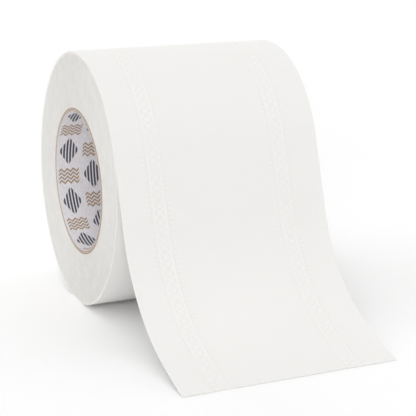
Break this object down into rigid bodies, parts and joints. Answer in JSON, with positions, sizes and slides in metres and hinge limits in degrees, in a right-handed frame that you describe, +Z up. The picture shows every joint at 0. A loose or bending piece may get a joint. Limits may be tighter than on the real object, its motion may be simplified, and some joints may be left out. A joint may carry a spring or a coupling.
{
  "type": "toilet paper roll",
  "caption": "Roll of white embossed toilet tissue on a wide cardboard core, lying on its side with its loose end hanging down and swept forward.",
  "frame": {"origin": "on the core's axis, midway along it", "axes": "+X runs along the core's axis, -Y is the side that the loose end sweeps to, +Z is up as the roll lies on its flat spot"},
  "size_m": [0.1, 0.1877, 0.1229],
  "materials": {
    "tissue": "soft matt white tissue, lightly creped, with two dotted emboss bands",
    "core_board": "raw kraft board, saw-cut edge",
    "printed_ply": "smooth silver-grey printed ply with small navy and tan motifs"
  },
  "bodies": {
    "root": {"paper_roll": "tissue", "core_tube": "core_board", "core_liner": "printed_ply"}
  },
  "joints": []
}
